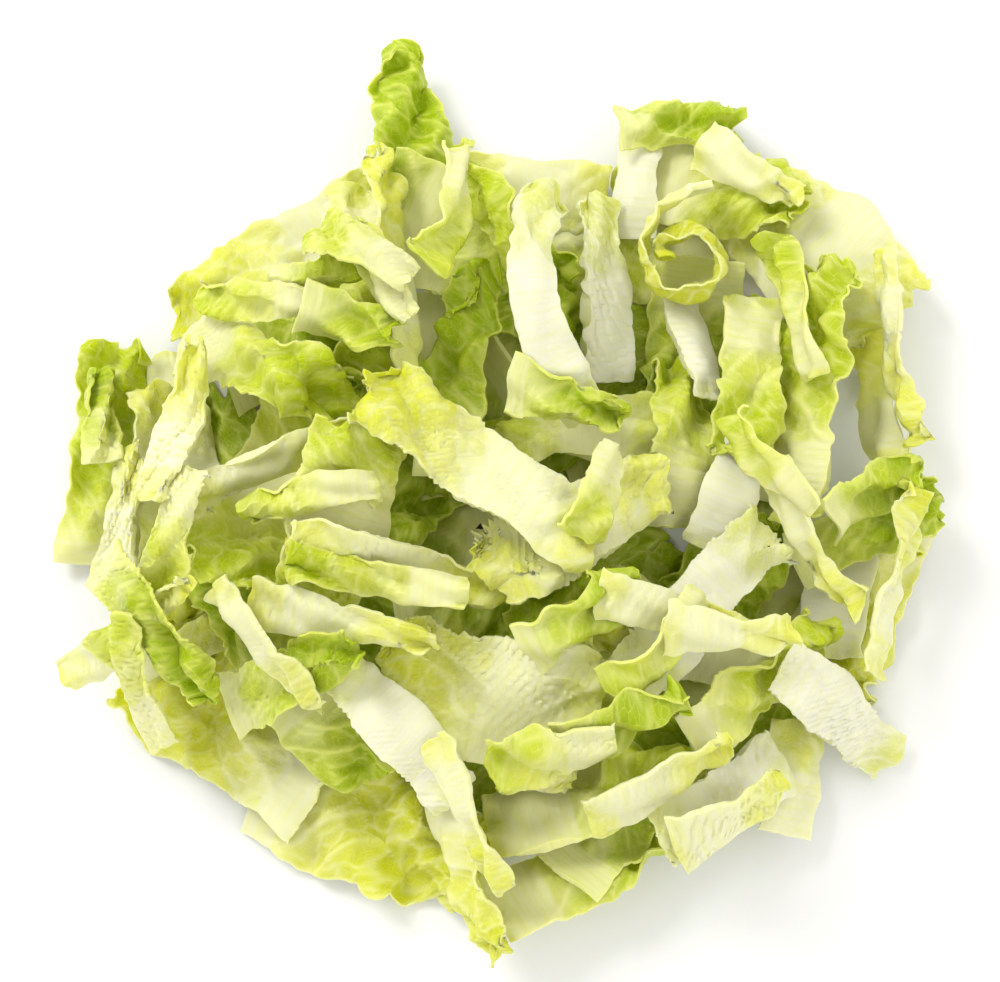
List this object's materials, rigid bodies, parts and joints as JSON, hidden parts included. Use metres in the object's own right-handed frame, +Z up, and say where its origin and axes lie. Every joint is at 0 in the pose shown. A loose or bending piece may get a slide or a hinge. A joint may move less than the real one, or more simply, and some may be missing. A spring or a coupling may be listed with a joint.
{
  "type": "shredded napa cabbage",
  "caption": "Loose heap of shredded napa cabbage: curled and folded green, pale yellow and white strips lying one on another, resting on a flat base.",
  "frame": {"origin": "on the table under the middle of the heap's bounding box", "axes": "+Z up from the table, -Y towards the viewer of the picture"},
  "size_m": [0.1934, 0.2004, 0.0528],
  "materials": {
    "outer_leaf": "green savoy blade, slightly waxy",
    "inner_leaf": "yellow-green blade, slightly waxy",
    "heart_leaf": "pale yellow blade, slightly waxy",
    "white_rib": "white rib flesh, moist"
  },
  "bodies": {
    "root": {"heart_leaf_01": "heart_leaf", "heart_leaf_02": "heart_leaf", "heart_leaf_03": "heart_leaf", "heart_leaf_04": "heart_leaf", "heart_leaf_05": "heart_leaf", "heart_leaf_06": "heart_leaf", "heart_leaf_07": "heart_leaf", "heart_leaf_08": "heart_leaf", "heart_leaf_09": "heart_leaf", "heart_leaf_10": "heart_leaf", "heart_leaf_11": "heart_leaf", "heart_leaf_12": "heart_leaf", "heart_leaf_13": "heart_leaf", "heart_leaf_14": "heart_leaf", "heart_leaf_15": "heart_leaf", "heart_leaf_16": "heart_leaf", "heart_leaf_17": "heart_leaf", "heart_leaf_18": "heart_leaf", "heart_leaf_19": "heart_leaf", "inner_leaf_01": "inner_leaf", "inner_leaf_02": "inner_leaf", "inner_leaf_03": "inner_leaf", "inner_leaf_04": "inner_leaf", "inner_leaf_05": "inner_leaf", "inner_leaf_06": "inner_leaf", "inner_leaf_07": "inner_leaf", "inner_leaf_08": "inner_leaf", "inner_leaf_09": "inner_leaf", "inner_leaf_10": "inner_leaf", "inner_leaf_11": "inner_leaf", "inner_leaf_12": "inner_leaf", "inner_leaf_13": "inner_leaf", "inner_leaf_14": "inner_leaf", "outer_leaf_01": "outer_leaf", "outer_leaf_02": "outer_leaf", "outer_leaf_03": "outer_leaf", "outer_leaf_04": "outer_leaf", "outer_leaf_05": "outer_leaf", "outer_leaf_06": "outer_leaf", "outer_leaf_07": "outer_leaf", "outer_leaf_08": "outer_leaf", "outer_leaf_09": "outer_leaf", "outer_leaf_10": "outer_leaf", "outer_leaf_11": "outer_leaf", "outer_leaf_12": "outer_leaf", "outer_leaf_13": "outer_leaf", "outer_leaf_14": "outer_leaf", "outer_leaf_15": "outer_leaf", "outer_leaf_16": "outer_leaf", "outer_leaf_17": "outer_leaf", "white_rib_01": "white_rib", "white_rib_02": "white_rib", "white_rib_03": "white_rib", "white_rib_04": "white_rib", "white_rib_05": "white_rib", "white_rib_06": "white_rib", "white_rib_07": "white_rib", "white_rib_08": "white_rib", "white_rib_09": "white_rib", "white_rib_10": "white_rib"}
  },
  "joints": []
}
